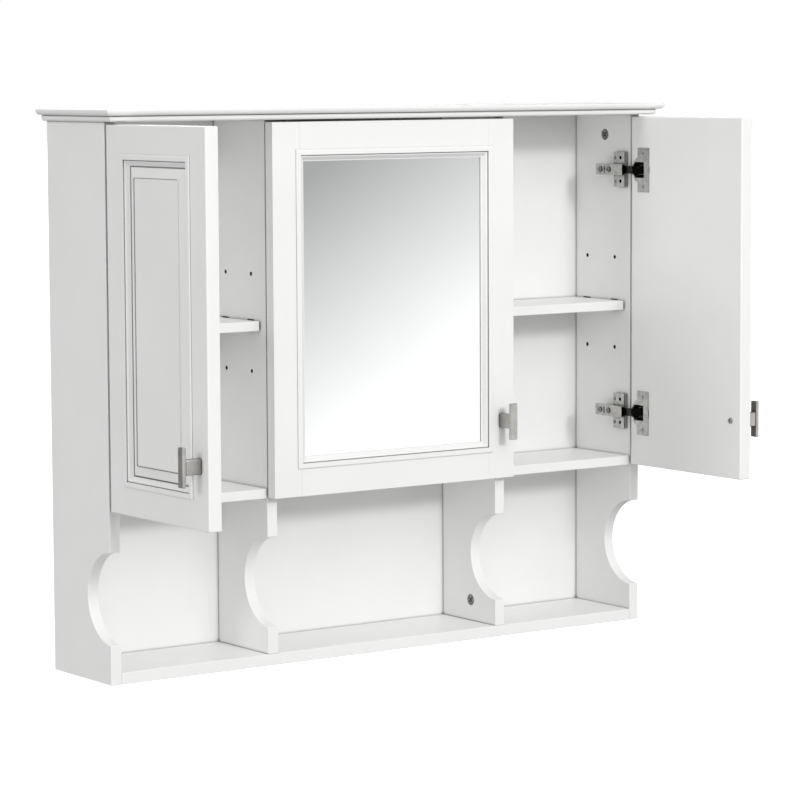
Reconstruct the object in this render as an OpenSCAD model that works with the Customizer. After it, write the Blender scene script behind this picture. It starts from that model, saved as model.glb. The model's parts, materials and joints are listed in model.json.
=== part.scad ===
// Wall-hung bathroom medicine cabinet: a framed mirror door between two raised-panel doors,
// three cupboard bays with adjustable shelves, and an open row of three compartments below,
// whose side panels and dividers have a round cut-out in the front edge.
// Frame: the wall is the plane y = 0, the front faces -Y, z = 0 is the underside of the base.

/* [Cabinet] */
// Width over the two side panels
carcass_w = 840; // [780:5:1010]
// Depth from the wall to the front edge of the panels
carcass_d = 142; // [118:1:175]
// Overall height, crown included
total_h = 710; // [590:1:860]
// Thickness of the side panels, dividers and base
panel_t = 15; // [12.5:0.5:18]
// Thickness of the fixed and adjustable shelves
shelf_t = 12.5; // [12:0.5:16]
// Clear width of the bay behind the mirror door
middle_bay_w = 347; // [285:1:420]
// Clear height of the open compartments
cubby_h = 200.5; // [165:0.5:245]

/* [Round cut-outs] */
// Radius of the cut-out in each upright
cutout_r = 58; // [45:1:70]
// How far the cut-out's centre lies in front of the front edge
cutout_proud = 3; // [0:0.5:12]

/* [Crown] */
// Thickness of the crown board
crown_t = 15; // [13:0.5:20]
// Overhang past the side panels and past the door fronts
crown_overhang = 16; // [13:0.5:22]
// Height of the lower of the crown edge's two tiers
tier_h = 6.5; // [5:0.5:8]
// Distance the lower tier stands back from the upper one
tier_step = 8.5; // [7:0.5:10]

/* [Back and hanging] */
// Thickness of the back panel
back_t = 3; // [2.5:0.5:6]
// Space between the wall and the back panel
back_inset = 20; // [16:1:25]
// Depth of the groove that holds the back panel
groove_d = 5; // [4:0.5:6]
// Height of the rail that carries the keyhole plates
hanging_rail_h = 70; // [60:1:90]
// Height of the lower rail
lower_rail_h = 50; // [30:1:70]
// Distance between the two keyholes
keyhole_spacing = 406; // [300:2:600]
// Radius of the round entry of a keyhole
keyhole_r = 5; // [4.5:0.25:6]
// Radius of the keyhole's slot
keyhole_slot_r = 2.5; // [2:0.25:3]
// Thickness of a keyhole plate
keyhole_plate_t = 1.5; // [1.2:0.1:2]

/* [Adjustable shelves] */
// Clear height between the fixed shelf and the adjustable shelf
shelf_rise = 200; // [165:1:240]
// Distance from the cabinet's front edge to the adjustable shelf's front edge
shelf_setback = 12; // [6:1:20]
// Vertical distance between the rows of support holes
hole_pitch = 62; // [50:1:75]
// Distance from the cabinet's front edge to the front line of support holes
hole_front = 34; // [28:1:38]
// Distance from the back panel to the rear line of support holes
hole_rear = 25; // [14:1:32]
// Radius of a support hole
hole_r = 2.5; // [2:0.25:3]

/* [Doors] */
// Thickness of every door
door_t = 18; // [15:0.5:22]
// How far the mirror door laps over its bay on each side
mirror_lap = 16; // [13.5:0.5:18]
// Gap between neighbouring doors
door_gap = 2.5; // [2:0.5:5]
// Gap between the crown and the top of the doors
door_top_gap = 3; // [2:0.5:6]
// Height of the doors' lower edge above the underside of the fixed shelf
door_bottom_reveal = 1.5; // [0:0.5:6]
// Gap between a closed door and the cabinet's front edge
door_clearance = 2; // [1.75:0.25:3]
// How far the left door stands open
left_open = 90; // [0:1:100]
// How far the mirror door stands open
mirror_open = 0; // [0:1:100]
// How far the right door stands open
right_open = 90; // [0:1:100]

/* [Door mouldings] */
// Distance from a door's edge to the outer line of the moulding
frame_w = 35; // [34.5:0.5:45]
// Width of the moulding around the mirror
mirror_bead_w = 15; // [13:0.5:20]
// Width of the moulding around a raised panel
panel_bead_w = 14; // [11:0.5:16]
// Part of the moulding that lies on the frame
bead_lip = 6; // [5.5:0.5:7]
// Height of the moulding above the frame
bead_proud = 2; // [1:0.25:3]
// Width of the raised panel's sloping border
bevel_w = 13; // [10:1:22]
// Depth of the pocket around the raised panel
pocket_d = 6; // [5:0.5:7]
// Thickness of the mirror glass
glass_t = 4; // [3:0.5:5]

/* [Hinges] */
// Distance from the ends of a door to its hinges
hinge_inset = 72; // [65:1:100]
// Distance from a door's hinged edge to the pin
pin_inset = 8; // [7.5:0.25:9]
// Depth of the pin behind the inner face of the door
pin_depth = 10; // [9.5:0.25:10.5]
// Radius of the hinge pins
pin_r = 1.1; // [1:0.05:1.2]
// Running clearance between pin and link
pin_clear = 0.05; // [0.02:0.01:0.1]
// Radius of a hinge cup
cup_r = 17.5; // [17:0.25:18]
// Distance from a door's edge to the rim of the cup
cup_edge = 4; // [3.5:0.25:4.5]
// Depth of a hinge cup
cup_d = 13.4; // [13.2:0.1:13.8]
// Distance between the two screws of a cup's flange
flange_pitch = 45; // [42:1:48]
// Length of a hinge arm
arm_len = 57; // [48:1:68]

/* [Handles] */
// Length of a handle bar
bar_l = 48; // [36:1:80]
// Width of a handle bar
bar_w = 11; // [8:0.5:14]
// Thickness of a handle bar
bar_t = 5; // [4:0.5:7]
// Height of the post under the bar
post_h = 22; // [18:1:30]
// Length of the post along the bar
post_l = 19; // [14:1:22]
// Width of the post
post_w = 10; // [8:0.5:13]
// Distance from a door's free edge to the middle of its handle
handle_inset = 19.5; // [15:0.5:22]
// Height of the middle of a handle above the door's lower edge
handle_rise = 77; // [50:1:110]

/* [Hidden] */
$fn = 48;

paint = "white";
steel = "silver";
dark = "dimgray";
timber = "burlywood";

// Play left where one piece slips into another
fit_play = 0.1;
// Extra length of a cut, so that it clears the surface that it opens
over = 1;

// Cabinet levels and planes
carcass_h = total_h - crown_t;
inner_x = carcass_w / 2 - panel_t;
divider_in = middle_bay_w / 2;
divider_out = divider_in + panel_t;
back_front = back_inset + back_t;
shelf_z = panel_t + cubby_h;
shelf_top = shelf_z + shelf_t;
adjustable_z = shelf_top + shelf_rise;
cutout_z = shelf_z / 2;

// Doors: each is drawn closed, from its own pin axis, and then turned open
door_z = shelf_z + door_bottom_reveal;
door_h = carcass_h - door_top_gap - door_z;
mirror_door_w = middle_bay_w + 2 * mirror_lap;
side_door_w = (carcass_w - mirror_door_w) / 2 - door_gap;
pin_y = -(carcass_d + door_clearance + pin_depth);
side_pin_x = carcass_w / 2 - pin_inset;
mirror_pin_x = mirror_door_w / 2 - pin_inset;
side_overlay = panel_t;
mirror_overlay = mirror_lap;
front_v = pin_depth - door_t;
carcass_v = pin_depth + door_clearance;
swing_round = 3;
hinge_heights = [door_z + hinge_inset, door_z + door_h - hinge_inset];
handle_z = door_z + handle_rise;

// Blind holes that meet from both faces of a divider leave this much between them
blind_web = 1;
blind_d = (panel_t - blind_web) / 2;

// Knock-down fittings
cam_r = 7.5;
cam_t = 10;
cam_reach = 28;
cam_y = -86;
bolt_r = 3.4;
bolt_neck_r = 2.2;
bolt_head = 3.5;
bolt_cover = 4;
dowel_r = 3;
dowel_l = 24;
dowel_ys = [-50, 20 - carcass_d];
rail_dowel_y = -(back_inset + keyhole_plate_t) / 2;

// Hinge metal: plate and arm sit on the upright, the cup in the door
arm_base = 13.3;
arm_rise = 8.7;
arm_half = 7.5;
arm_wall = 1.3;
arm_front = carcass_v + 0.5;
plate_front = carcass_v + 5.5;
wing_d = 23.5;
wing_half = 24;
wing_hole_z = 16;
wing_holes = [8.5, 19.5];
wing_hole_r = 2.3;
plate_tail = 46;
plate_half = 5.8;
arm_screws = [29, 47];
arm_slot = 38;
cup_u = cup_edge + cup_r - pin_inset;
cup_wall = 0.8;
flange_t = 0.8;
flange_w = 24;
flange_l = 60;
flange_shift = 6;
eye_r = 2.2;
eye_half = 5.2;
ear_gap = 0.4;
ear_t = 1.4;
link_t = 1.8;
link_rise = 3;
mouth_u = 21;
mouth_half = 10.5;
screw_r = 1.5;
screw_head_r = 3;

// Mirror door
bead_back = 7;
backing_t = door_t - bead_back - glass_t;
frame_solid = frame_w + bead_lip;
retainer_w = 12;
retainer_l = 20;
retainer_t = 1.2;

// Shelf supports
support_t = 1.2;
support_w = 14;
support_leg = 12;
support_lift = 1.4;
pin_above_leg = 9.5;
hole_ys = [-(carcass_d - hole_front), -(back_front + hole_rear)];
hole_zs = [for (row = [-1 : 1]) adjustable_z + pin_above_leg + row * hole_pitch];

function mirrored(side) = side < 0 ? [1, 0, 0] : [0, 0, 0];

// ---------- shared shapes ----------

module block(x0, x1, y0, y1, z0, z1)
    translate([x0, y0, z0]) cube([x1 - x0, y1 - y0, z1 - z0]);

module rod_x(r, l) rotate([0, 90, 0]) cylinder(r = r, h = l);

module rod_y(r, l) rotate([-90, 0, 0]) cylinder(r = r, h = l);

// Countersunk screw along +Y, its head's flat face at y = 0
module sunk_screw(r, head_r, l) {
    rotate([-90, 0, 0]) difference() {
        union() {
            cylinder(r1 = head_r, r2 = r, h = head_r - r);
            cylinder(r = r, h = l);
        }
        for (a = [0, 90]) rotate([0, 0, a])
            translate([-head_r * 0.6, -0.4, -over]) cube([head_r * 1.2, 0.8, over + 0.7]);
    }
}

module sunk_hole(r, head_r, l) {
    rotate([-90, 0, 0]) {
        cylinder(r1 = head_r + fit_play, r2 = r + fit_play, h = head_r - r);
        cylinder(r = r + fit_play, h = l);
    }
}

// Puts a child that is drawn from a pin axis where that door hangs
module at_hinge(pin_x, side) translate([pin_x, pin_y, 0]) mirror(mirrored(side)) children();

module at_left() at_hinge(-side_pin_x, 1) children();
module at_middle() at_hinge(-mirror_pin_x, 1) children();
module at_right() at_hinge(side_pin_x, -1) children();

module swung(angle) rotate([0, 0, -angle]) children();

// ---------- joints between the boards ----------
// A cam joint is [place on the board's face, direction, "up" | "down" | "end", board thickness].
// Its cam turns in the face and its bolt runs to the joint, upwards, downwards or sideways.

cam_joints = concat(
    [for (s = [-1, 1]) [[s * inner_x, cam_y, carcass_h - cam_reach], -s, "up", panel_t]],
    [for (s = [-1, 1]) [[s * divider_in, cam_y, carcass_h - cam_reach], -s, "up", panel_t]],
    [for (s = [-1, 1]) [[s * divider_in, cam_y, panel_t + cam_reach], -s, "down", panel_t]],
    [for (s = [-1, 1]) [[s * (inner_x - cam_reach), cam_y, 0], s, "end", panel_t]],
    [for (s = [-1, 1]) [[s * (inner_x - cam_reach), cam_y, shelf_z], s, "end", shelf_t]],
    [for (s = [-1, 1]) [[s * (divider_out + cam_reach), cam_y, shelf_z], -s, "end", shelf_t]],
    [for (s = [-1, 1]) [[s * (divider_in - cam_reach), cam_y, shelf_z], s, "end", shelf_t]]
);

module at_cam(joint) {
    translate(joint[0]) mirror(mirrored(joint[1])) {
        if (joint[2] == "up") mirror([0, 0, 1]) rotate([0, 90, 0]) children();
        if (joint[2] == "down") rotate([0, 90, 0]) children();
        if (joint[2] == "end") mirror([0, 0, 1]) children();
    }
}

// Length of bolt past the joint, inside the mating board
function bolt_bite(joint) = joint[2] == "up" ? crown_t - bolt_cover
    : joint[2] == "end" && abs(abs(joint[0][0]) + cam_reach * sign(joint[1] * joint[0][0]) - inner_x) > over
        ? panel_t / 2
    : panel_t - bolt_cover;

module cam_cut(joint) {
    at_cam(joint) {
        translate([0, 0, -cam_t - fit_play]) cylinder(r = cam_r, h = cam_t + over);
        translate([-bolt_head - fit_play, 0, -joint[3] / 2])
            rod_x(bolt_r + fit_play, bolt_head + cam_reach + bolt_bite(joint) + fit_play);
    }
}

module cam_lock(joint) {
    at_cam(joint) difference() {
        translate([0, 0, -cam_t]) cylinder(r = cam_r - fit_play, h = cam_t - 0.2);
        translate([-bolt_head - fit_play, 0, -joint[3] / 2])
            rod_x(bolt_r + 2 * fit_play, cam_r + bolt_head + over);
        for (a = [45, 135]) rotate([0, 0, a]) translate([-4.5, -0.8, -1.8]) cube([9, 1.6, 1.8 + over]);
        translate([0, 0, -0.7]) difference() {
            cylinder(r = cam_r - 1.2, h = over);
            translate([0, 0, -over]) cylinder(r = cam_r - 1.9, h = 3 * over);
        }
    }
}

module cam_bolt(joint) {
    at_cam(joint) translate([0, 0, -joint[3] / 2]) {
        translate([-bolt_head, 0, 0]) rod_x(bolt_r, bolt_head);
        rod_x(bolt_neck_r, bolt_head);
        translate([bolt_head, 0, 0]) rod_x(bolt_r, cam_reach + bolt_bite(joint) - bolt_head);
    }
}

// A dowel is [middle of the joint, "z" | "x", direction into the board that it fits end-on]
upright_xs = [for (s = [-1, 1], x = [inner_x + panel_t / 2, divider_in + panel_t / 2]) s * x];
dowel_joints = concat(
    [for (x = upright_xs, y = dowel_ys) [[x, y, carcass_h], "z", -1]],
    [for (s = [-1, 1], y = dowel_ys) [[s * (divider_in + panel_t / 2), y, panel_t], "z", 1]],
    [for (s = [-1, 1], y = dowel_ys) [[s * inner_x, y, panel_t / 2], "x", -s]],
    [for (s = [-1, 1], y = dowel_ys) [[s * inner_x, y, shelf_z + shelf_t / 2], "x", -s]],
    [for (s = [-1, 1], y = dowel_ys) [[s * divider_out, y, shelf_z + shelf_t / 2], "x", s]],
    [for (s = [-1, 1], y = dowel_ys) [[s * divider_in, y, shelf_z + shelf_t / 2], "x", -s]],
    [for (s = [-1, 1], z = [panel_t + lower_rail_h / 2, carcass_h - hanging_rail_h / 2])
        [[s * inner_x, rail_dowel_y, z], "x", -s]]
);

module dowel_shape(joint, r, extra) {
    bite = blind_d + extra;
    reach = dowel_l - blind_d + extra;
    translate(joint[0]) mirror(joint[2] < 0 ? (joint[1] == "x" ? [1, 0, 0] : [0, 0, 1]) : [0, 0, 0])
        if (joint[1] == "x") translate([-bite, 0, 0]) rod_x(r, bite + reach);
        else translate([0, 0, -bite]) cylinder(r = r, h = bite + reach);
}

// Cuts the joints that lie within a board's own box
module joinery(x0, x1, z0, z1) {
    for (joint = cam_joints)
        if (joint[0][0] >= x0 - cam_reach - over && joint[0][0] <= x1 + cam_reach + over
            && joint[0][2] >= z0 - cam_reach - over && joint[0][2] <= z1 + cam_reach + over)
            cam_cut(joint);
    for (joint = dowel_joints)
        if (joint[0][0] >= x0 - over && joint[0][0] <= x1 + over
            && joint[0][2] >= z0 - over && joint[0][2] <= z1 + over)
            dowel_shape(joint, dowel_r + fit_play / 2, fit_play);
}

// ---------- carcass ----------

module back_groove(x0, x1, z0, z1)
    block(x0, x1, -back_front - fit_play, -back_inset + fit_play, z0, z1);

module round_cutout(x0, x1)
    translate([x0 - over, -(carcass_d + cutout_proud), cutout_z])
        rotate([0, 90, 0]) cylinder(r = cutout_r, h = x1 - x0 + 2 * over, $fn = 96);

module support_holes(face_x, side) {
    for (y = hole_ys, z = hole_zs)
        translate([face_x, y, z]) mirror(mirrored(side))
            translate([-over, 0, 0]) rod_x(hole_r, blind_d + over);
}

module hinge_pilots(side) {
    for (z = hinge_heights, w = [-1, 1])
        translate([0, 0, z]) plate_screw_place(side_overlay, w)
            rod_x(screw_r, panel_t - bolt_cover);
}

module side_panel(side) {
    color(paint) mirror(mirrored(side)) difference() {
        block(inner_x, inner_x + panel_t, -carcass_d, 0, 0, carcass_h);
        back_groove(inner_x - over, inner_x + groove_d, panel_t - groove_d, carcass_h + over);
        round_cutout(inner_x, inner_x + panel_t);
        support_holes(inner_x, 1);
        joinery(inner_x, inner_x + panel_t, 0, carcass_h);
        mirror([1, 0, 0]) at_left() plate_screw_cuts(side_overlay);
    }
}

module left_side_panel() side_panel(-1);
module right_side_panel() side_panel(1);

module divider(side) {
    color(paint) mirror(mirrored(side)) difference() {
        block(divider_in, divider_out, -carcass_d, -back_front, panel_t, carcass_h);
        round_cutout(divider_in, divider_out);
        support_holes(divider_in, 1);
        support_holes(divider_out, -1);
        joinery(divider_in, divider_out, panel_t, carcass_h);
        if (side < 0) mirror([1, 0, 0]) at_middle() plate_screw_cuts(mirror_overlay);
    }
}

module left_divider() divider(-1);
module right_divider() divider(1);

module base_board() {
    color(paint) difference() {
        block(-inner_x, inner_x, -carcass_d, 0, 0, panel_t);
        back_groove(-inner_x - over, inner_x + over, panel_t - groove_d, panel_t + over);
        joinery(-inner_x, inner_x, 0, panel_t);
    }
}

// Edge of the crown as [distance in from the lip, height]: two rounded tiers, a fine quirk between
quirk = 1;
tier_r = tier_h - 2.5;
lip_r = min(crown_t - tier_h - quirk - 1.5, tier_step - 0.5);
lip_z = tier_h + quirk;
crown_edge = concat(
    [for (a = [0 : 15 : 90]) [tier_step + tier_r * (1 - sin(a)), tier_r * (1 - cos(a))]],
    [[tier_step, tier_h], [tier_step + quirk, tier_h], [tier_step + quirk, lip_z]],
    [for (a = [0 : 15 : 90]) [lip_r * (1 - sin(a)), lip_z + lip_r * (1 - cos(a))]],
    [[0, crown_t - 0.8], [0.8, crown_t]]
);

module crown_board() {
    half_w = carcass_w / 2 + crown_overhang;
    depth = carcass_d + door_clearance + door_t + crown_overhang;
    color(paint) difference() {
        translate([0, 0, carcass_h]) intersection() {
            rotate([90, 0, 0]) linear_extrude(height = depth)
                polygon(concat(
                    [for (p = crown_edge) [half_w - p[0], p[1]]],
                    [for (i = [len(crown_edge) - 1 : -1 : 0])
                        [crown_edge[i][0] - half_w, crown_edge[i][1]]]));
            translate([-half_w, 0, 0]) rotate([90, 0, 90]) linear_extrude(height = 2 * half_w)
                polygon(concat([[0, 0]], [for (p = crown_edge) [p[0] - depth, p[1]]], [[0, crown_t]]));
        }
        back_groove(-inner_x - groove_d, inner_x + groove_d, carcass_h - over, carcass_h + groove_d);
        joinery(-carcass_w / 2, carcass_w / 2, carcass_h, total_h);
    }
}

module fixed_shelf(x0, x1) {
    color(paint) difference() {
        block(x0, x1, -carcass_d, -back_front, shelf_z, shelf_top);
        joinery(x0, x1, shelf_z, shelf_top);
    }
}

module left_fixed_shelf() fixed_shelf(-inner_x, -divider_out);
module middle_fixed_shelf() fixed_shelf(-divider_in, divider_in);
module right_fixed_shelf() fixed_shelf(divider_out, inner_x);

module back_panel() {
    in_groove = groove_d - 4 * fit_play;
    color(paint) block(-inner_x - in_groove, inner_x + in_groove, -back_front, -back_inset,
        panel_t - in_groove, carcass_h + in_groove);
}

// ---------- hanging hardware ----------

keyhole_z = carcass_h - hanging_rail_h / 2 - 6;
keyhole_travel = 14;
plate_screw_z = 23;
plate_end_r = 11;
plate_y = -0.5;
rail_face = plate_y - keyhole_plate_t;

module at_keyholes()
    for (s = [-1, 1]) translate([s * keyhole_spacing / 2, 0, keyhole_z]) children();

module rail(z0, z1) block(-inner_x, inner_x, -back_inset, rail_face, z0, z1);

module hanging_rail() {
    color(paint) difference() {
        rail(carcass_h - hanging_rail_h, carcass_h);
        joinery(-inner_x, inner_x, carcass_h - hanging_rail_h, carcass_h);
        at_keyholes() {
            for (z = [0, keyhole_travel])
                translate([0, rail_face - 12, z]) rod_y(keyhole_r + over, 12 + over);
            block(-keyhole_r - over, keyhole_r + over, rail_face - 12, rail_face + over, 0, keyhole_travel);
            for (z = [-1, 1]) translate([0, plate_y, keyhole_travel / 2 + z * plate_screw_z])
                mirror([0, 1, 0]) sunk_hole(screw_r, screw_head_r, 15);
        }
    }
}

module lower_rail() {
    color(paint) difference() {
        rail(panel_t, panel_t + lower_rail_h);
        joinery(-inner_x, inner_x, panel_t, panel_t + lower_rail_h);
    }
}

module keyhole_plates() {
    color(steel) at_keyholes() difference() {
        translate([0, rail_face, keyhole_travel / 2]) {
            for (z = [-1, 1]) translate([0, 0, z * plate_screw_z * 0.9]) rod_y(plate_end_r, keyhole_plate_t);
            block(-plate_end_r, plate_end_r, 0, keyhole_plate_t, -plate_screw_z * 0.9, plate_screw_z * 0.9);
        }
        translate([0, rail_face - over, 0]) rod_y(keyhole_r, keyhole_plate_t + 2 * over);
        translate([0, rail_face - over, keyhole_travel]) rod_y(keyhole_slot_r, keyhole_plate_t + 2 * over);
        block(-keyhole_slot_r, keyhole_slot_r, rail_face - over, plate_y + over, 0, keyhole_travel);
        for (z = [-1, 1]) translate([0, plate_y, keyhole_travel / 2 + z * plate_screw_z])
            mirror([0, 1, 0]) sunk_hole(screw_r, screw_head_r, 15);
    }
}

module keyhole_screws() {
    color(steel) at_keyholes() for (z = [-1, 1])
        translate([0, plate_y, keyhole_travel / 2 + z * plate_screw_z])
            mirror([0, 1, 0]) sunk_screw(screw_r, screw_head_r, 14);
}

// ---------- adjustable shelves ----------

shelf_end_gap = support_t + 0.4;

module adjustable_shelf(x0, x1)
    color(paint) block(x0 + shelf_end_gap, x1 - shelf_end_gap,
        -(carcass_d - shelf_setback), -back_front - over, adjustable_z, adjustable_z + shelf_t);

module left_shelf() adjustable_shelf(-inner_x, -divider_out);
module middle_shelf() adjustable_shelf(-divider_in, divider_in);
module right_shelf() adjustable_shelf(divider_out, inner_x);

// Steel angle with a pin: it hangs on the upright at face_x and reaches under the shelf
module shelf_support(face_x, side) {
    for (y = hole_ys) translate([face_x, y, adjustable_z]) mirror(mirrored(side)) {
        block(0, support_t, -support_w / 2, support_w / 2, -support_t, shelf_t + support_lift);
        block(0, support_leg, -support_w / 2, support_w / 2, -support_t, 0);
        translate([-blind_d + fit_play, 0, pin_above_leg]) rod_x(hole_r - fit_play, blind_d);
    }
}

module shelf_supports() {
    color(dark) for (s = [-1, 1]) {
        shelf_support(s * inner_x, -s);
        shelf_support(s * divider_out, s);
        shelf_support(s * divider_in, -s);
    }
}

module cam_locks() color(steel) for (joint = cam_joints) cam_lock(joint);

module cam_bolts() color(steel) for (joint = cam_joints) cam_bolt(joint);

module dowels() color(timber) for (joint = dowel_joints) dowel_shape(joint, dowel_r, 0);

// ---------- hinges, fixed to the uprights ----------
// Drawn from the pin: +X runs into the bay, +Y towards the wall.

function face_u(overlay) = overlay - pin_inset;

module at_hinges() for (z = hinge_heights) translate([0, 0, z]) children();

// Screws hold the plate through the rear hole of each wing
module at_plate_screws() {
    for (w = [-1, 1]) translate([arm_base, plate_front + wing_holes[1], w * wing_hole_z])
        rotate([0, 0, 90]) children();
}

module plate_screw_cuts(overlay) {
    at_hinges() for (w = [-1, 1])
        translate([face_u(overlay) + over, plate_front + wing_holes[1], w * wing_hole_z])
            mirror([1, 0, 0]) rod_x(screw_r + fit_play, panel_t - bolt_cover + over);
}

module hinge_plates(overlay) {
    face = face_u(overlay);
    color(steel) at_hinges() difference() {
        union() {
            block(face, arm_base, plate_front, plate_front + wing_d, -wing_half, wing_half);
            block(face, arm_base, plate_front, plate_front + plate_tail, -plate_half, plate_half);
        }
        for (w = [-1, 1], hole = wing_holes)
            translate([face - over, plate_front + hole, w * wing_hole_z])
                rod_x(wing_hole_r, arm_base - face + 2 * over);
        for (s = arm_screws) translate([face - over, carcass_v + s, 0])
            rod_x(screw_r + fit_play, arm_base - face + 2 * over);
    }
}

module left_hinge_plates() at_left() hinge_plates(side_overlay);
module middle_hinge_plates() at_middle() hinge_plates(mirror_overlay);
module right_hinge_plates() at_right() hinge_plates(side_overlay);

module hinge_arms() {
    arm_top = arm_base + arm_rise;
    color(steel) at_hinges() difference() {
        block(arm_base, arm_top, arm_front, carcass_v + arm_len, -arm_half, arm_half);
        block(arm_base - over, arm_top - arm_wall, arm_front - over, carcass_v + arm_len + over,
            -arm_half + arm_wall, arm_half - arm_wall);
        for (s = arm_screws) translate([arm_top - arm_wall - over, carcass_v + s, 0])
            rod_x(2 + fit_play, arm_wall + 2 * over);
        block(arm_top - arm_wall - over, arm_top + over,
            carcass_v + arm_slot - 1.2, carcass_v + arm_slot + 1.2, -4.5, 4.5);
    }
}

module left_hinge_arms() at_left() hinge_arms();
module middle_hinge_arms() at_middle() hinge_arms();
module right_hinge_arms() at_right() hinge_arms();

// Bent link: from the eye on the pin, across the cup's mouth and up into the arm
module hinge_link() {
    foot = arm_base + 0.2;
    color(dark) at_hinges() difference() {
        union() {
            translate([0, 0, -eye_half]) cylinder(r = eye_r, h = 2 * eye_half);
            block(0, foot + link_rise, -eye_r, link_t - eye_r, -eye_half, eye_half);
            block(foot, foot + link_rise, -eye_r, arm_front + 8, -eye_half, eye_half);
        }
        translate([0, 0, -eye_half - over]) cylinder(r = pin_r + pin_clear, h = 2 * (eye_half + over));
    }
}

module hinge_links() {
    at_left() hinge_link();
    at_middle() hinge_link();
    at_right() hinge_link();
}

module plate_screws(overlay) {
    at_hinges() for (w = [-1, 1])
        translate([arm_base, plate_front + wing_holes[1], w * wing_hole_z]) {
            translate([-0.2, 0, 0]) rotate([0, 0, 90])
                sunk_screw(screw_r, 2.2, arm_base - face_u(overlay) + panel_t - bolt_cover - over);
        }
}

module hinge_plate_screws() {
    color(steel) {
        at_left() plate_screws(side_overlay);
        at_middle() plate_screws(mirror_overlay);
        at_right() plate_screws(side_overlay);
    }
}

module arm_screw_pair(overlay) {
    head_h = 1.8;
    at_hinges() for (s = arm_screws) translate([arm_base + arm_rise, carcass_v + s, 0]) difference() {
        union() {
            rod_x(3.6, head_h);
            mirror([1, 0, 0]) rod_x(screw_r, arm_rise + arm_base - face_u(overlay));
        }
        for (a = [0, 90]) rotate([a, 0, 0])
            translate([head_h - 1, -2.4, -0.5]) cube([over + 1, 4.8, 1]);
    }
}

module hinge_arm_screws() {
    color(steel) {
        at_left() arm_screw_pair(side_overlay);
        at_middle() arm_screw_pair(mirror_overlay);
        at_right() arm_screw_pair(side_overlay);
    }
}

// ---------- hinges, fixed to the doors ----------

module hinge_cups() {
    color(steel) at_hinges() translate([cup_u, 0, 0]) {
        difference() {
            translate([0, pin_depth - cup_d, 0]) rod_y(cup_r, cup_d + flange_t);
            translate([0, pin_depth - cup_d + cup_wall, 0]) rod_y(cup_r - cup_wall, cup_d - cup_wall);
            block(-cup_u - pin_r - link_t + 0.3, mouth_u - cup_u,
                pin_depth - over, pin_depth + flange_t + over, -mouth_half, mouth_half);
        }
        difference() {
            block(flange_shift - flange_w / 2, flange_shift + flange_w / 2,
                pin_depth, pin_depth + flange_t, -flange_l / 2, flange_l / 2);
            translate([0, pin_depth - over, 0]) rod_y(cup_r, flange_t + 2 * over);
            for (w = [-1, 1]) translate([flange_shift, pin_depth + flange_t, w * flange_pitch / 2])
                mirror([0, 1, 0]) sunk_hole(screw_r, screw_head_r, 3);
        }
        for (w = [-1, 1]) mirror(w < 0 ? [0, 0, 1] : [0, 0, 0])
            difference() {
                block(-cup_u - 1.5, -cup_u + 3.5, pin_depth - cup_d + cup_wall, 3,
                    eye_half + ear_gap, eye_half + ear_gap + ear_t);
                translate([-cup_u, 0, eye_half]) cylinder(r = pin_r, h = ear_t + 2 * over);
            }
    }
}

module hinge_pins() {
    half = eye_half + ear_gap + ear_t;
    color(steel) at_hinges() translate([0, 0, -half]) cylinder(r = pin_r, h = 2 * half);
}

module cup_screws() {
    color(steel) at_hinges() for (w = [-1, 1])
        translate([cup_u + flange_shift, pin_depth + flange_t, w * flange_pitch / 2])
            mirror([0, 1, 0]) sunk_screw(screw_r, screw_head_r, 12);
}

module left_hinge_cups() at_left() swung(left_open) hinge_cups();
module middle_hinge_cups() at_middle() swung(mirror_open) hinge_cups();
module right_hinge_cups() at_right() swung(right_open) hinge_cups();

module left_hinge_pins() at_left() swung(left_open) hinge_pins();
module middle_hinge_pins() at_middle() swung(mirror_open) hinge_pins();
module right_hinge_pins() at_right() swung(right_open) hinge_pins();

module left_cup_screws() at_left() swung(left_open) cup_screws();
module middle_cup_screws() at_middle() swung(mirror_open) cup_screws();
module right_cup_screws() at_right() swung(right_open) cup_screws();

// ---------- doors ----------

// Blank of a door, its inner hinged edge rounded so that it swings clear of the upright
module door_blank(w) {
    translate([0, 0, door_z]) linear_extrude(height = door_h) polygon(concat(
        [[-pin_inset, front_v], [w - pin_inset, front_v], [w - pin_inset, pin_depth]],
        [for (a = [90 : 15 : 180])
            [swing_round * (1 + cos(a)) - pin_inset, swing_round * (sin(a) - 1) + pin_depth]]
    ));
}

// Recesses for the hinge cups and the bores for their screws and for the handle's screw
module door_bores(w) {
    at_hinges() {
        translate([cup_u, pin_depth - cup_d - fit_play, 0]) rod_y(cup_r + fit_play, cup_d + over);
        for (s = [-1, 1]) translate([cup_u + flange_shift, pin_depth + flange_t, s * flange_pitch / 2])
            mirror([0, 1, 0]) sunk_hole(screw_r, screw_head_r, 12 + over);
    }
    translate([w - pin_inset - handle_inset, front_v - over, handle_z])
        rod_y(2 + fit_play, door_t + 2 * over);
}

// Section of a moulding as [distance in, height]: a bead on the frame, a quirk, an ogee to the panel
bead_edge_h = 1.5;
bead_drop = 0.75 * bead_proud;
bead_quirk = 1.5;
quirk_x = bead_lip + 1;
ogee_x = quirk_x + 1;
ogee_z = bead_proud - bead_drop;
function bead_section(w, back) = concat(
    [[0, 0]],
    [for (a = [180 : -30 : 90]) [bead_proud * (1 + cos(a)), bead_proud * (0.3 + 0.7 * sin(a))]],
    [[quirk_x, bead_proud], [quirk_x, ogee_z - bead_quirk], [ogee_x, ogee_z - bead_quirk]],
    [for (i = [0 : 8]) let (t = i / 8)
        [ogee_x + (w - ogee_x) * t,
         ogee_z - (ogee_z + back - bead_edge_h) * (1 - cos(180 * t)) / 2]],
    [[w, -back], [bead_lip + fit_play, -back], [bead_lip + fit_play, 0]]
);

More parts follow.
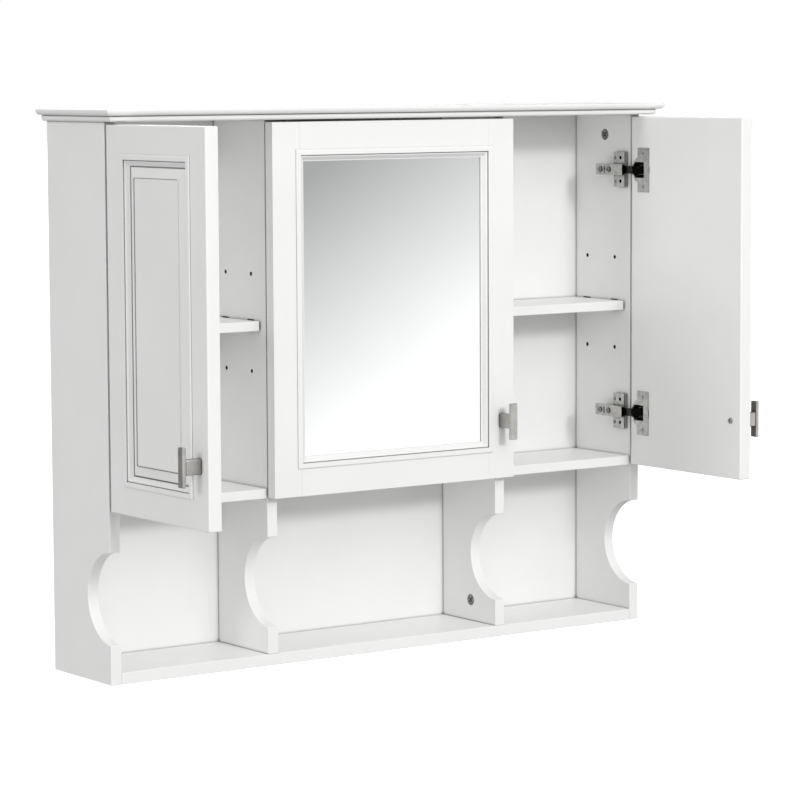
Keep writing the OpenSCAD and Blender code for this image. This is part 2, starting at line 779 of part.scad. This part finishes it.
// One mitred length of moulding along +X, on the plane z = 0, its inner side towards +Y
module moulding_strip(l, w, back) {
    intersection() {
        rotate([90, 0, 90]) linear_extrude(height = l) polygon(bead_section(w, back));
        translate([0, 0, -back - over]) linear_extrude(height = back + bead_proud + 2 * over)
            polygon([[0, 0], [l, 0], [l - w, w], [w, w]]);
    }
}

module door_moulding(door_w, w, back) {
    l = door_w - 2 * frame_w;
    h = door_h - 2 * frame_w;
    color(paint) translate([frame_w - pin_inset, front_v, door_z + frame_w]) rotate([90, 0, 0]) {
        moulding_strip(l, w, back);
        translate([l, 0, 0]) rotate([0, 0, 90]) moulding_strip(h, w, back);
        translate([l, h, 0]) rotate([0, 0, 180]) moulding_strip(l, w, back);
        translate([0, h, 0]) rotate([0, 0, 270]) moulding_strip(h, w, back);
    }
}

// Raised panel: a sloping border up to a field that stands a small step higher
bevel_foot = 1;
bevel_rise = 3;
field_step = 0.7;
panel_quirk = 1;

function panel_section(half) = [
    [-half, 0], [-half, bevel_foot], [-half + bevel_w, bevel_foot + bevel_rise],
    [-half + bevel_w, bevel_foot + bevel_rise + field_step],
    [half - bevel_w, bevel_foot + bevel_rise + field_step],
    [half - bevel_w, bevel_foot + bevel_rise], [half, bevel_foot], [half, 0]];

module raised_panel(w, h) {
    intersection() {
        translate([0, h / 2, 0]) rotate([90, 0, 0])
            linear_extrude(height = h) polygon(panel_section(w / 2));
        translate([-w / 2, 0, 0]) rotate([90, 0, 90])
            linear_extrude(height = w) polygon(panel_section(h / 2));
    }
}

module side_door_panel() {
    pocket = frame_w + bead_lip;
    field = frame_w + panel_bead_w + panel_quirk;
    w = side_door_w;
    color(paint) {
        difference() {
            door_blank(w);
            block(pocket - pin_inset, w - pocket - pin_inset, front_v - over, front_v + pocket_d,
                door_z + pocket, door_z + door_h - pocket);
            door_bores(w);
        }
        translate([w / 2 - pin_inset, front_v + pocket_d, door_z + door_h / 2])
            rotate([90, 0, 0]) raised_panel(w - 2 * field, door_h - 2 * field);
    }
}

module left_door_panel() at_left() swung(left_open) side_door_panel();
module right_door_panel() at_right() swung(right_open) side_door_panel();

module left_door_moulding() at_left() swung(left_open)
    door_moulding(side_door_w, panel_bead_w, pocket_d);
module right_door_moulding() at_right() swung(right_open)
    door_moulding(side_door_w, panel_bead_w, pocket_d);

module mirror_door_stiles() {
    w = mirror_door_w;
    color(paint) at_middle() swung(mirror_open) difference() {
        door_blank(w);
        block(frame_solid - pin_inset, w - frame_solid - pin_inset,
            front_v - over, pin_depth + over, door_z - over, door_z + door_h + over);
        door_bores(w);
        retainer_bores();
    }
}

module mirror_door_rails() {
    w = mirror_door_w;
    color(paint) at_middle() swung(mirror_open) difference() {
        for (z = [door_z, door_z + door_h - frame_solid])
            block(frame_solid - pin_inset, w - frame_solid - pin_inset,
                front_v, pin_depth, z, z + frame_solid);
        retainer_bores();
    }
}

module mirror_moulding() at_middle() swung(mirror_open)
    door_moulding(mirror_door_w, mirror_bead_w, bead_back);

module pane(y0, y1) {
    inset = frame_solid + 5 * fit_play;
    block(inset - pin_inset, mirror_door_w - inset - pin_inset,
        y0, y1, door_z + inset, door_z + door_h - inset);
}

module mirror_glass() {
    color("lightsteelblue") at_middle() swung(mirror_open)
        pane(front_v + bead_back, front_v + bead_back + glass_t);
}

module mirror_backing() {
    color(timber) at_middle() swung(mirror_open)
        pane(front_v + bead_back + glass_t, front_v + bead_back + glass_t + backing_t);
}

// Flat plates screwed to the back of the frame, which hold the backing board in
retainer_screw = 5;
retainer_zs = [for (i = [-1 : 1]) door_z + door_h / 2 + i * (door_h / 2 - frame_solid - 70)];
retainer_xs = [for (i = [-1, 1]) mirror_door_w / 2 - pin_inset + i * (mirror_door_w / 2 - frame_solid - 70)];

module at_retainers() {
    for (s = [0, 1], z = retainer_zs)
        translate([s * mirror_door_w - pin_inset, pin_depth, z]) mirror(mirrored(1 - 2 * s))
            translate([frame_solid, 0, 0]) children();
    for (s = [0, 1], x = retainer_xs)
        translate([x, pin_depth, door_z + s * door_h]) mirror(s == 1 ? [0, 0, 1] : [0, 0, 0])
            rotate([0, -90, 0]) translate([frame_solid, 0, 0]) children();
}

module retainer_bores()
    at_retainers() translate([-retainer_screw, retainer_t, 0]) mirror([0, 1, 0]) sunk_hole(1.2, 2.3, 11);

module mirror_retainers() {
    color(steel) at_middle() swung(mirror_open) at_retainers() {
        difference() {
            block(-retainer_screw * 2, retainer_l - retainer_screw * 2,
                0, retainer_t, -retainer_w / 2, retainer_w / 2);
            translate([-retainer_screw, retainer_t, 0]) mirror([0, 1, 0]) sunk_hole(1.2, 2.3, 4);
        }
        translate([-retainer_screw, retainer_t, 0]) mirror([0, 1, 0]) sunk_screw(1.2, 2.3, 10);
    }
}

// ---------- handles ----------

module at_handle(w) translate([w - pin_inset - handle_inset, front_v, handle_z]) children();

module handle_bar(w)
    color(steel) at_handle(w) block(-bar_w / 2, bar_w / 2, -post_h - bar_t, -post_h, -bar_l / 2, bar_l / 2);

module handle_post(w) {
    color(steel) at_handle(w) difference() {
        block(-post_w / 2, post_w / 2, -post_h, 0, -post_l / 2, post_l / 2);
        translate([0, -14, 0]) rod_y(2 + fit_play, 14 + over);
    }
}

module handle_screw(w) {
    head_h = 1.6;
    color(steel) at_handle(w) {
        translate([0, -13, 0]) rod_y(2, 13 + door_t);
        difference() {
            translate([0, door_t, 0]) rod_y(3.8, head_h);
            for (a = [0, 90]) rotate([0, a, 0])
                translate([-2.4, door_t + head_h - 1, -0.5]) cube([4.8, over + 1, 1]);
        }
    }
}

module left_handle_bar() at_left() swung(left_open) handle_bar(side_door_w);
module left_handle_post() at_left() swung(left_open) handle_post(side_door_w);
module left_handle_screw() at_left() swung(left_open) handle_screw(side_door_w);
module right_handle_bar() at_right() swung(right_open) handle_bar(side_door_w);
module right_handle_post() at_right() swung(right_open) handle_post(side_door_w);
module right_handle_screw() at_right() swung(right_open) handle_screw(side_door_w);
module middle_handle_bar() at_middle() swung(mirror_open) handle_bar(mirror_door_w);
module middle_handle_post() at_middle() swung(mirror_open) handle_post(mirror_door_w);
module middle_handle_screw() at_middle() swung(mirror_open) handle_screw(mirror_door_w);

left_side_panel();
right_side_panel();
left_divider();
right_divider();
base_board();
crown_board();
left_fixed_shelf();
middle_fixed_shelf();
right_fixed_shelf();
back_panel();
hanging_rail();
lower_rail();
keyhole_plates();
keyhole_screws();
left_shelf();
middle_shelf();
right_shelf();
shelf_supports();
cam_locks();
cam_bolts();
dowels();
left_hinge_plates();
middle_hinge_plates();
right_hinge_plates();
left_hinge_arms();
middle_hinge_arms();
right_hinge_arms();
hinge_links();
hinge_plate_screws();
hinge_arm_screws();
left_door_panel();
left_door_moulding();
left_hinge_cups();
left_hinge_pins();
left_cup_screws();
left_handle_bar();
left_handle_post();
left_handle_screw();
right_door_panel();
right_door_moulding();
right_hinge_cups();
right_hinge_pins();
right_cup_screws();
right_handle_bar();
right_handle_post();
right_handle_screw();
mirror_door_stiles();
mirror_door_rails();
mirror_moulding();
mirror_glass();
mirror_backing();
mirror_retainers();
middle_hinge_cups();
middle_hinge_pins();
middle_cup_screws();
middle_handle_bar();
middle_handle_post();
middle_handle_screw();
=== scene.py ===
import json
import math

import bpy
from mathutils import Euler, Matrix, Vector

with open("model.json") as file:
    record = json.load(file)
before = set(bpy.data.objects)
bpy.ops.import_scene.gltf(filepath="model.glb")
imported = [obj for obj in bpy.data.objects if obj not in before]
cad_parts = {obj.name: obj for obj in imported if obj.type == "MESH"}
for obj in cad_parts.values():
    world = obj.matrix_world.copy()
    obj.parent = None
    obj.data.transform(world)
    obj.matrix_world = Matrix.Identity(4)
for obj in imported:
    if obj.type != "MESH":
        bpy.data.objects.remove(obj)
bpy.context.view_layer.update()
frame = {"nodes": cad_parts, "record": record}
nodes = frame["nodes"]
scene = bpy.context.scene
scene.view_settings.view_transform = "Standard"
MM = 0.001


# ---------- camera: at the left, a little above the cabinet's middle ----------

CAM_PLACE = (-2.4332, -3.607, 0.7535)
CAM_TURN, CAM_DIP, CAM_ROLL = (math.radians(a) for a in (-35.284, 5.719, -0.267))

cam_data = bpy.data.cameras.new("camera")
cam_data.sensor_width = 36
cam_data.lens = 147.35
cam_data.clip_start = 0.1
cam_data.clip_end = 100
cam = bpy.data.objects.new("camera", cam_data)
cam.location = CAM_PLACE
cam.rotation_euler = (
    Euler((math.pi / 2 - CAM_DIP, 0, CAM_TURN), "XYZ").to_matrix()
    @ Matrix.Rotation(CAM_ROLL, 3, "Z")
).to_euler()
scene.collection.objects.link(cam)
scene.camera = cam


# ---------- material helpers ----------

class Mat:
    """A Principled material whose patterns lie in the cabinet's own frame, in metres."""

    def __init__(self, name, metallic=0.0, **fixed):
        self.mat = bpy.data.materials.new(name)
        self.mat.use_nodes = True
        self.tree = self.mat.node_tree
        self.bsdf = self.tree.nodes["Principled BSDF"]
        self.bsdf.inputs["Metallic"].default_value = metallic
        for key, value in fixed.items():
            self.bsdf.inputs[key.replace("_", " ")].default_value = value
        self.coord = self.tree.nodes.new("ShaderNodeTexCoord").outputs["Object"]
        self.height = None

    def link(self, a, b):
        self.tree.links.new(a, b)

    def mapped(self, scale, rot=(0, 0, 0)):
        m = self.tree.nodes.new("ShaderNodeMapping")
        m.inputs["Scale"].default_value = scale
        m.inputs["Rotation"].default_value = rot
        self.link(self.coord, m.inputs["Vector"])
        return m.outputs["Vector"]

    def noise(self, scale, detail=2.0, rough=0.5, distort=0.0, vector=None):
        n = self.tree.nodes.new("ShaderNodeTexNoise")
        n.inputs["Scale"].default_value = scale
        n.inputs["Detail"].default_value = detail
        n.inputs["Roughness"].default_value = rough
        n.inputs["Distortion"].default_value = distort
        self.link(vector if vector else self.coord, n.inputs["Vector"])
        return n.outputs["Fac"]

    def ramp(self, fac, stops):
        r = self.tree.nodes.new("ShaderNodeValToRGB")
        ramp = r.color_ramp
        while len(ramp.elements) < len(stops):
            ramp.elements.new(0.5)
        for element, (pos, colour) in zip(ramp.elements, stops):
            element.position = pos
            element.color = (*colour, 1) if len(colour) == 3 else colour
        self.link(fac, r.inputs["Fac"])
        return r.outputs["Color"]

    def span(self, fac, low, high, lo=0.3, hi=0.7):
        r = self.tree.nodes.new("ShaderNodeMapRange")
        r.inputs["From Min"].default_value = lo
        r.inputs["From Max"].default_value = hi
        r.inputs["To Min"].default_value = low
        r.inputs["To Max"].default_value = high
        self.link(fac, r.inputs["Value"])
        return r.outputs["Result"]

    def painted_crevice_shade(self, socket, reach, darkest, open_at=0.88):
        """Paints shade into a colour: darkens it where the surface is closed in within the given
        reach, the shade that corners, creases and gaps would catch.
        """
        near = self.tree.nodes.new("ShaderNodeAmbientOcclusion")
        near.inputs["Distance"].default_value = reach
        near.samples = 8
        shade = self.span(near.outputs["AO"], darkest, 1.0, 0.18, open_at)
        mix = self.tree.nodes.new("ShaderNodeMix")
        mix.data_type = "RGBA"
        mix.blend_type = "MULTIPLY"
        mix.inputs[0].default_value = 1.0
        self.link(socket, mix.inputs[6])
        self.link(shade, mix.inputs[7])
        return mix.outputs[2]

    def colour(self, socket):
        self.link(socket, self.bsdf.inputs["Base Color"])

    def roughness(self, socket):
        self.link(socket, self.bsdf.inputs["Roughness"])

    def bump(self, socket, strength, distance):
        b = self.tree.nodes.new("ShaderNodeBump")
        b.inputs["Strength"].default_value = strength
        b.inputs["Distance"].default_value = distance
        self.link(socket, b.inputs["Height"])
        if self.height is not None:
            self.link(self.height, b.inputs["Normal"])
        self.height = b.outputs["Normal"]
        self.link(self.height, self.bsdf.inputs["Normal"])


def white_lacquer(name, rot=(0, 0, 0)):
    """Sprayed satin lacquer: faint orange peel, a slow roll in the surface and uneven sheen."""
    m = Mat(name, Coat_Weight=0.12, Coat_Roughness=0.22, Specular_IOR_Level=0.42)
    tone = m.ramp(m.noise(5.5, 4, 0.6),
                  [(0.3, (0.77, 0.77, 0.76)), (0.7, (0.805, 0.805, 0.80))])
    # Painted shade: the colour is darkened in corners, creases and the gaps between parts, where
    # shade falls
    m.colour(m.painted_crevice_shade(tone, 0.0055, 0.26, 0.80))
    m.roughness(m.span(m.noise(28, 5, 0.62), 0.34, 0.48))
    m.bump(m.noise(14, 2, 0.5), 0.25, 0.0006)
    m.bump(m.noise(620, 2.5, 0.55), 0.12, 0.00022)
    return m.mat


# Where an upright has bores, as (middle, reach) along Y and along Z
BORED_DEPTH = (0.071, 0.0695)
BORED_HEIGHT = (0.462, 0.232)
# Bare board colour, made darker than real board so that it paints the shade inside the bores
SHADED_BARE_BOARD = (0.045, 0.032, 0.022, 1)


def drilled(name, mid, half):
    """The same lacquer on an upright, with bare board inside the bores of its upper part, painted
    nearly black to stand in for the shade in the holes.

    The bores lie inside the board whose middle stands mid from the cabinet's middle plane.
    """
    mat = white_lacquer(name)
    tree = mat.node_tree
    bsdf = tree.nodes["Principled BSDF"]
    painted = bsdf.inputs["Base Color"].links[0].from_socket
    coord = tree.nodes.new("ShaderNodeTexCoord")
    away = tree.nodes.new("ShaderNodeVectorMath")
    away.operation = "ABSOLUTE"
    split = tree.nodes.new("ShaderNodeSeparateXYZ")
    tree.links.new(coord.outputs["Object"], away.inputs[0])
    tree.links.new(away.outputs["Vector"], split.inputs["Vector"])
    mask = None
    for axis, (centre, reach) in {"X": (mid, half), "Y": BORED_DEPTH, "Z": BORED_HEIGHT}.items():
        near = tree.nodes.new("ShaderNodeMath")
        near.operation = "COMPARE"
        near.inputs[1].default_value = centre
        near.inputs[2].default_value = reach
        tree.links.new(split.outputs[axis], near.inputs[0])
        if mask is not None:
            both = tree.nodes.new("ShaderNodeMath")
            both.operation = "MULTIPLY"
            tree.links.new(mask, both.inputs[0])
            tree.links.new(near.outputs["Value"], both.inputs[1])
            mask = both.outputs["Value"]
        else:
            mask = near.outputs["Value"]
    mix = tree.nodes.new("ShaderNodeMix")
    mix.data_type = "RGBA"
    mix.inputs[7].default_value = SHADED_BARE_BOARD
    tree.links.new(mask, mix.inputs[0])
    tree.links.new(painted, mix.inputs[6])
    tree.links.new(mix.outputs[2], bsdf.inputs["Base Color"])
    return mat


def brushed_nickel(name):
    """Satin nickel with fine brush lines along the bar and a few lighter rubs."""
    m = Mat(name, 1.0, Anisotropic=0.45, Specular_IOR_Level=0.5)
    lines = m.noise(1, 3, 0.7, vector=m.mapped((5200, 5200, 90)))
    tone = m.ramp(m.noise(60, 4, 0.6), [(0.35, (0.44, 0.43, 0.41)), (0.7, (0.57, 0.555, 0.53))])
    # Painted shade: the bar's sides and the post, close to the door, are darkened against the
    # lighter front
    m.colour(m.painted_crevice_shade(tone, 0.03, 0.10, 0.95))
    m.roughness(m.span(lines, 0.24, 0.42))
    m.bump(lines, 0.22, 0.00006)
    return m.mat


def plated_steel(name, dark, light, low, high):
    """Bright plate on pressed steel: a mottled tone, rolled lines and small scratches."""
    m = Mat(name, 1.0, Specular_IOR_Level=0.5)
    tone = m.ramp(m.noise(130, 5, 0.65, 0.4), [(0.3, dark), (0.72, light)])
    # Painted shade: the colour is darkened along creases, gaps and where parts meet
    m.colour(m.painted_crevice_shade(tone, 0.006, 0.06, 0.92))
    m.roughness(m.span(m.noise(210, 6, 0.7), low, high))
    m.bump(m.noise(1, 2, 0.5, vector=m.mapped((900, 900, 5200), (0.3, 0.2, 0))), 0.10, 0.00005)
    m.bump(m.noise(2600, 2, 0.5), 0.10, 0.00003)
    return m.mat


def wood(name, dark, light, stretch):
    """Bare timber: long grain, pores and a slow change of tone."""
    m = Mat(name, Specular_IOR_Level=0.3)
    grain = m.noise(1, 6, 0.62, 1.2, vector=m.mapped(stretch))
    m.colour(m.ramp(grain, [(0.25, dark), (0.5, light), (0.75, dark)]))
    m.roughness(m.span(grain, 0.55, 0.75))
    m.bump(grain, 0.25, 0.0002)
    return m.mat


def pressed_fibre(name):
    """Brown hardboard: matted fibres and darker flecks."""
    m = Mat(name, Specular_IOR_Level=0.25)
    fibres = m.noise(1, 5, 0.7, 2.0, vector=m.mapped((260, 900, 420), (0, 0.6, 0)))
    m.colour(m.ramp(fibres, [
        (0.28, (0.10, 0.055, 0.03)), (0.55, (0.23, 0.145, 0.085)), (0.8, (0.33, 0.22, 0.14))]))
    m.roughness(m.span(fibres, 0.62, 0.85))
    m.bump(fibres, 0.35, 0.0003)
    return m.mat


def silvered_glass(name):
    """Mirror: a clean polished face with the faintest haze of a wiped surface."""
    m = Mat(name, 1.0, Specular_IOR_Level=0.5, Coat_Weight=1.0, Coat_Roughness=0.0)
    m.colour(m.ramp(m.noise(7, 3, 0.5),
                    [(0.3, (0.865, 0.88, 0.878)), (0.7, (0.885, 0.897, 0.893))]))
    m.roughness(m.span(m.noise(22, 5, 0.65, 0.8), 0.008, 0.035))
    return m.mat


PAINT = white_lacquer("white_lacquer")
NICKEL = brushed_nickel("brushed_nickel")
HINGE = plated_steel("bright_nickel", (0.34, 0.335, 0.325), (0.54, 0.535, 0.52), 0.14, 0.28)
ZINC = plated_steel("zinc_plate", (0.34, 0.345, 0.355), (0.52, 0.53, 0.54), 0.22, 0.40)
DARK = plated_steel("dark_plate", (0.028, 0.027, 0.026), (0.07, 0.068, 0.066), 0.24, 0.42)
CAST = plated_steel("cast_zinc", (0.22, 0.225, 0.23), (0.38, 0.385, 0.39), 0.32, 0.52)
BEECH = wood("beech", (0.42, 0.26, 0.14), (0.60, 0.41, 0.25), (60, 900, 900))
FIBRE = pressed_fibre("hardboard")
MIRROR = silvered_glass("silvered_glass")

BOARD_HALF = 0.0071
SIDE_PAINT = drilled("white_lacquer_sides", 0.4125, BOARD_HALF)
DIVIDER_PAINT = drilled("white_lacquer_dividers", 0.181, BOARD_HALF)

SLOT_MATS = {
    "white_lacquered_wood": PAINT,
    "brushed_nickel": NICKEL,
    "nickel_plated_steel": HINGE,
    "zinc_plated_steel": ZINC,
    "dark_steel": DARK,
    "cast_zinc": CAST,
    "beech": BEECH,
    "silvered_glass": MIRROR,
    "hardboard": FIBRE,
}
# Nodes whose finish is not their slot's own: bored boards with painted shade in their bores, and
# screws darker than their plates
NODE_MATS = {
    "left_side_panel": SIDE_PAINT,
    "right_side_panel": SIDE_PAINT,
    "left_divider": DIVIDER_PAINT,
    "right_divider": DIVIDER_PAINT,
    "hinge_plate_screws": CAST,
    "hinge_arm_screws": CAST,
}


# ---------- CAD nodes: material and softened edges ----------

def soften(obj, width, segments=3, angle=38):
    """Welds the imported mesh, rounds its edges and evens out the shading."""
    weld = obj.modifiers.new("weld", "WELD")
    weld.merge_threshold = 1e-6
    bevel = obj.modifiers.new("bevel", "BEVEL")
    bevel.width = width
    bevel.segments = segments
    bevel.limit_method = "ANGLE"
    bevel.angle_limit = math.radians(angle)
    bevel.use_clamp_overlap = False
    bevel.loop_slide = False
    bevel.harden_normals = False
    even = obj.modifiers.new("even", "WEIGHTED_NORMAL")
    even.keep_sharp = True
    even.weight = 70


# Width of the softened edge in mm, where it differs from its kind's usual one
WIDTHS = {
    "left_door_panel": 1.6, "right_door_panel": 1.6,
    "mirror_door_stiles": 0.3, "mirror_door_rails": 0.15,
    "left_door_moulding": 0.35, "right_door_moulding": 0.35, "mirror_moulding": 0.35,
    "crown_board": 0.6, "mirror_glass": 0.4, "mirror_backing": 0.3,
    "left_shelf": 0.9, "middle_shelf": 0.9, "right_shelf": 0.9,
}
for entry in frame["record"]["subparts"]:
    name, slot = entry["node"], entry["material_slot"]
    obj = nodes[name]
    obj.data.materials.clear()
    obj.data.materials.append(NODE_MATS.get(name, SLOT_MATS[slot]))
    if slot == "white_lacquered_wood":
        soften(obj, WIDTHS.get(name, 0.8) * MM)
    elif "handle_bar" in name:
        soften(obj, 1.1 * MM, 5)
    elif "handle_post" in name:
        soften(obj, 1.6 * MM, 5)
    elif name in WIDTHS:
        soften(obj, WIDTHS[name] * MM, 2)
    elif slot in ("nickel_plated_steel", "dark_steel"):
        soften(obj, 0.3 * MM, 2)
    else:
        soften(obj, 0.15 * MM, 2)


# ---------- stage and light ----------

def stage_mesh(name, corners, mat):
    mesh = bpy.data.meshes.new(name)
    mesh.from_pydata(corners, [], [tuple(range(len(corners)))])
    obj = bpy.data.objects.new(name, mesh)
    mesh.materials.append(mat)
    scene.collection.objects.link(obj)
    return obj


FLOOR_Z = -0.75
FLOOR_HALF = 60
floor_mat = Mat("pale_floor", Specular_IOR_Level=0.2, Roughness=0.7, Emission_Strength=0.45)
floor_mat.bsdf.inputs["Emission Color"].default_value = (1, 1, 1, 1)
floor_mat.colour(floor_mat.ramp(floor_mat.noise(1.2, 3),
                                [(0.2, (0.93, 0.93, 0.93)), (0.8, (0.95, 0.95, 0.95))]))
floor_corners = [(x * FLOOR_HALF, y * FLOOR_HALF, FLOOR_Z)
                 for x, y in ((-1, -1), (1, -1), (1, 1), (-1, 1))]
ground = stage_mesh("floor", floor_corners, floor_mat.mat)
ground.visible_diffuse = False
ground.visible_glossy = False

# The room is white to the camera, an even light to the paint, and to the metal a bright front
# that falls off towards the ceiling, the floor and the rear
world = bpy.data.worlds.new("studio")
scene.world = world
world.use_nodes = True
wt = world.node_tree
wt.nodes.clear()
path = wt.nodes.new("ShaderNodeLightPath")
where = wt.nodes.new("ShaderNodeTexCoord")
direction = wt.nodes.new("ShaderNodeSeparateXYZ")
bands = wt.nodes.new("ShaderNodeValToRGB")
wt.links.new(where.outputs["Generated"], direction.inputs["Vector"])
level = wt.nodes.new("ShaderNodeMapRange")
level.inputs["From Min"].default_value = -1
level.inputs["From Max"].default_value = 1
wt.links.new(direction.outputs["Z"], level.inputs["Value"])
wt.links.new(level.outputs["Result"], bands.inputs["Fac"])
behind = wt.nodes.new("ShaderNodeMapRange")
behind.inputs["From Min"].default_value = -0.2
behind.inputs["From Max"].default_value = 0.6
behind.inputs["To Min"].default_value = 1.15
behind.inputs["To Max"].default_value = 0.38
wt.links.new(direction.outputs["Y"], behind.inputs["Value"])
tones = [(0.0, 0.35), (0.25, 0.40), (0.40, 0.80), (0.50, 0.95),
         (0.62, 0.90), (0.80, 0.55), (1.0, 0.45)]
while len(bands.color_ramp.elements) < len(tones):
    bands.color_ramp.elements.new(0.5)
for element, (pos, tone) in zip(bands.color_ramp.elements, tones):
    element.position = pos
    element.color = (tone, tone, tone * 1.01, 1)
seen = wt.nodes.new("ShaderNodeBackground")
seen.inputs["Color"].default_value = (1, 1, 1, 1)
ambient = wt.nodes.new("ShaderNodeBackground")
ambient.inputs["Color"].default_value = (1, 1, 1, 1)
ambient.inputs["Strength"].default_value = 0.56
reflected = wt.nodes.new("ShaderNodeBackground")
wt.links.new(bands.outputs["Color"], reflected.inputs["Color"])
wt.links.new(behind.outputs["Result"], reflected.inputs["Strength"])
gloss = wt.nodes.new("ShaderNodeMixShader")
choose = wt.nodes.new("ShaderNodeMixShader")
sky = wt.nodes.new("ShaderNodeOutputWorld")
wt.links.new(path.outputs["Is Glossy Ray"], gloss.inputs["Fac"])
wt.links.new(ambient.outputs["Background"], gloss.inputs[1])
wt.links.new(reflected.outputs["Background"], gloss.inputs[2])
wt.links.new(path.outputs["Is Camera Ray"], choose.inputs["Fac"])
wt.links.new(gloss.outputs["Shader"], choose.inputs[1])
wt.links.new(seen.outputs["Background"], choose.inputs[2])
wt.links.new(choose.outputs["Shader"], sky.inputs["Surface"])


def sun(name, towards, strength, spread, shadow=True):
    data = bpy.data.lights.new(name, "SUN")
    data.energy = strength
    data.angle = math.radians(spread)
    data.use_shadow = shadow
    lamp = bpy.data.objects.new(name, data)
    lamp.rotation_euler = Vector(towards).to_track_quat("-Z", "Y").to_euler()
    scene.collection.objects.link(lamp)


def area(name, where, look_at, size, power):
    data = bpy.data.lights.new(name, "AREA")
    data.energy = power
    data.size = size
    lamp = bpy.data.objects.new(name, data)
    lamp.location = where
    lamp.rotation_euler = (Vector(look_at) - Vector(where)).to_track_quat("-Z", "Y").to_euler()
    scene.collection.objects.link(lamp)


sun("front", (0, 0.94, -0.34), 1.0, 8)
area("key", (0.0, -2.4, 1.6), (0, 0, 0.45), 1.6, 22)
sun("left", (0.94, 0.05, -0.34), 0.60, 14)
sun("left_fill", (0.94, 0.05, -0.34), 0.40, 14, False)
sun("top", (0, 0, -1), 0.25, 10, False)
sun("rear", (-0.45, -0.80, -0.40), 0.55, 12)

# Cards in front that only the mirror and the metal see. Their tone follows a slope across X and Z.
def reflector(name, x0, x1, slope, span, tones):
    card_mat = bpy.data.materials.new(name)
    card_mat.use_nodes = True
    tree = card_mat.node_tree
    tree.nodes.clear()
    coord = tree.nodes.new("ShaderNodeTexCoord")
    along = tree.nodes.new("ShaderNodeVectorMath")
    along.operation = "DOT_PRODUCT"
    along.inputs[1].default_value = slope
    fall = tree.nodes.new("ShaderNodeMapRange")
    emit = tree.nodes.new("ShaderNodeEmission")
    out = tree.nodes.new("ShaderNodeOutputMaterial")
    tree.links.new(coord.outputs["Object"], along.inputs[0])
    tree.links.new(along.outputs["Value"], fall.inputs["Value"])
    tree.links.new(fall.outputs["Result"], emit.inputs["Strength"])
    tree.links.new(emit.outputs["Emission"], out.inputs["Surface"])
    fall.inputs["From Min"].default_value, fall.inputs["From Max"].default_value = span
    fall.inputs["To Min"].default_value, fall.inputs["To Max"].default_value = tones
    y, z0, z1 = -3.3, -0.72, 1.8
    card = stage_mesh(name, [(x0, y, z0), (x1, y, z0), (x1, y, z1), (x0, y, z1)], card_mat)
    card.visible_camera = False
    card.visible_diffuse = False
    card.visible_shadow = False


# Grey at the top left, white towards the bottom right
reflector("card_right", 1.0, 3.8, (0.78, 0, -1.34), (0.86, 1.86), (0.46, 1.25))
# The same fall of tone for someone who stands in front or to the right
reflector("card_left", -5.0, 1.0, (-0.25, 0, -1.0), (-1.1, 0.5), (0.42, 1.10))
